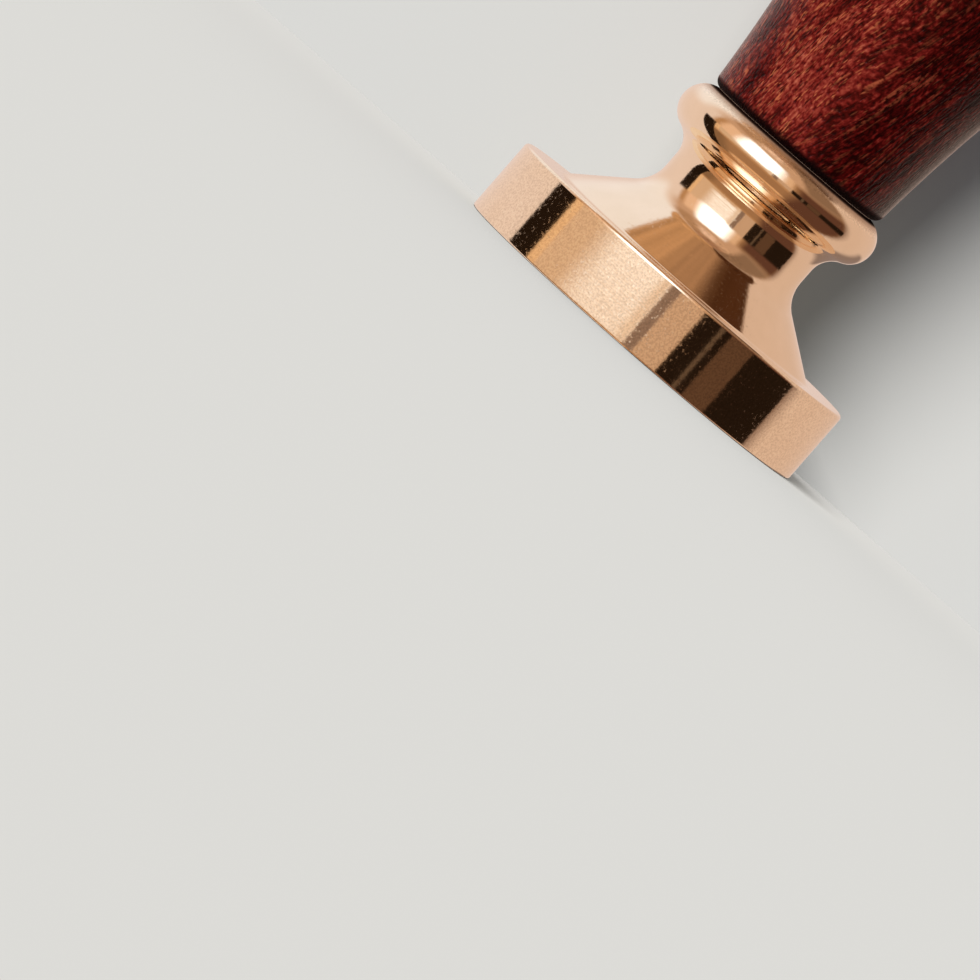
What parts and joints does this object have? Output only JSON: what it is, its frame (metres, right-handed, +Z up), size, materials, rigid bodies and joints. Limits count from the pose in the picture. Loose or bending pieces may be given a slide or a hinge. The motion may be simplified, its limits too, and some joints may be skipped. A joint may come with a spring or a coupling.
{
  "type": "wax seal stamp",
  "caption": "Wax seal stamp: a turned brass head with an engraved rosette on its face, and a slim stained wooden handle that unscrews from it on a threaded stud.",
  "frame": {"origin": "middle of the engraved face, on which the stamp stands", "axes": "+Z up the stamp's axis, from the engraved face to the handle's crown; X and Y in the plane of the face, +X along one petal of the rosette"},
  "size_m": [0.025, 0.025, 0.09],
  "materials": {
    "brass": "polished, with fine turning marks",
    "steel": "zinc-plated, bright",
    "stained_wood": "deep red stain under satin varnish, with fine open pores along the grain"
  },
  "bodies": {
    "head": {"seal_head": "brass"},
    "stud": {"threaded_stud": "steel"},
    "grip": {"handle": "stained_wood"}
  },
  "joints": [
    {"name": "unscrew_lift", "type": "slide", "parent": "head", "child": "stud", "axis": [0, 0, 1], "range_m": [0, 0.009]},
    {"name": "unscrew_turn", "type": "hinge", "parent": "stud", "child": "grip", "pos_m": [0, 0, 0.0149], "axis": [0, 0, 1], "range_deg": [0, 3241]}
  ],
  "couplings": [
    {"joint": "unscrew_turn", "follows": "unscrew_lift", "rad_per_m": 6283.2}
  ]
}
